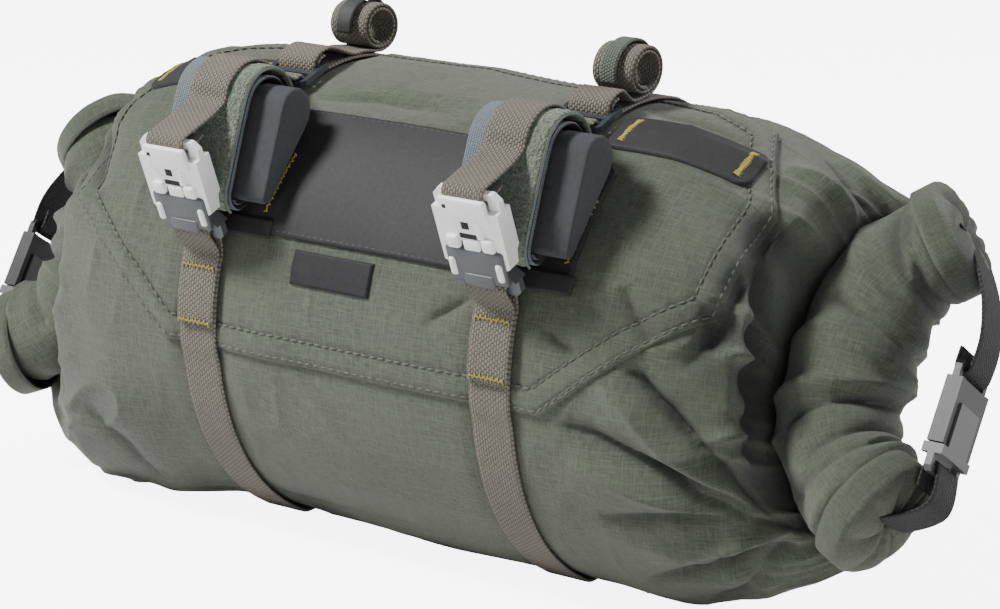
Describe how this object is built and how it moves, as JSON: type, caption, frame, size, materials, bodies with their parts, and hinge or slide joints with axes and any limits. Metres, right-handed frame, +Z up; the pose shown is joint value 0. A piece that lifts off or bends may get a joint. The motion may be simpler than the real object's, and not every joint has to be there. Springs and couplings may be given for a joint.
{
  "type": "bicycle handlebar bag",
  "caption": "Stuffed roll-top bicycle handlebar bag with rolled and buckled ends, a stitched front panel, compression webbing, magnetic buckles and rolled hook-and-loop mounting straps.",
  "frame": {"origin": "centre of the bounding box at its lowest height, where the bag rests", "axes": "+X along the bag to its right end, -Y towards the front panel's side, +Z up"},
  "size_m": [0.5072, 0.2156, 0.2316],
  "materials": {
    "bag_cloth": "grey-green ripstop weave, matte",
    "coated_cloth": "dark grey coated textile, matte",
    "black_cloth": "black textile, matte",
    "webbing": "brown-grey woven webbing",
    "dark_webbing": "dark woven webbing",
    "hook_tape": "blue-grey hook tape",
    "loop_pile": "green fuzzy loop pile",
    "spacer_foam": "textile covered foam, matte",
    "white_plastic": "white moulded plastic, satin",
    "grey_plastic": "grey moulded plastic, satin",
    "lock_plastic": "dark navy-grey moulded plastic, glossy",
    "clasp_plastic": "black moulded plastic, satin",
    "rubber": "matte rubber"
  },
  "bodies": {
    "root": {"bag_body": "bag_cloth", "rolled_mouth_left": "bag_cloth", "rolled_mouth_right": "bag_cloth", "reinforcement_panel": "bag_cloth", "label_panel": "coated_cloth", "side_label": "black_cloth", "accessory_tab_left": "coated_cloth", "accessory_tab_right": "coated_cloth", "compression_strap_left": "webbing", "compression_strap_right": "webbing", "upper_strap_left": "webbing", "upper_strap_right": "webbing", "hook_strap_left": "hook_tape", "hook_strap_right": "hook_tape", "loop_pile_left": "loop_pile", "loop_pile_right": "loop_pile", "spacer_left": "spacer_foam", "spacer_right": "spacer_foam", "spacer_pad_left": "black_cloth", "spacer_pad_right": "black_cloth", "ladder_lock_left": "lock_plastic", "ladder_lock_right": "lock_plastic", "buckle_lower_left": "grey_plastic", "buckle_lower_right": "grey_plastic", "buckle_upper_left": "white_plastic", "buckle_upper_right": "white_plastic", "tail_keeper_left": "rubber", "tail_keeper_right": "rubber", "clasp_female_left": "clasp_plastic", "clasp_female_right": "clasp_plastic", "clasp_male_left": "clasp_plastic", "clasp_male_right": "clasp_plastic", "closure_strap_lower_left": "dark_webbing", "closure_strap_lower_right": "dark_webbing", "closure_strap_upper_left": "dark_webbing", "closure_strap_upper_right": "dark_webbing"}
  },
  "joints": []
}
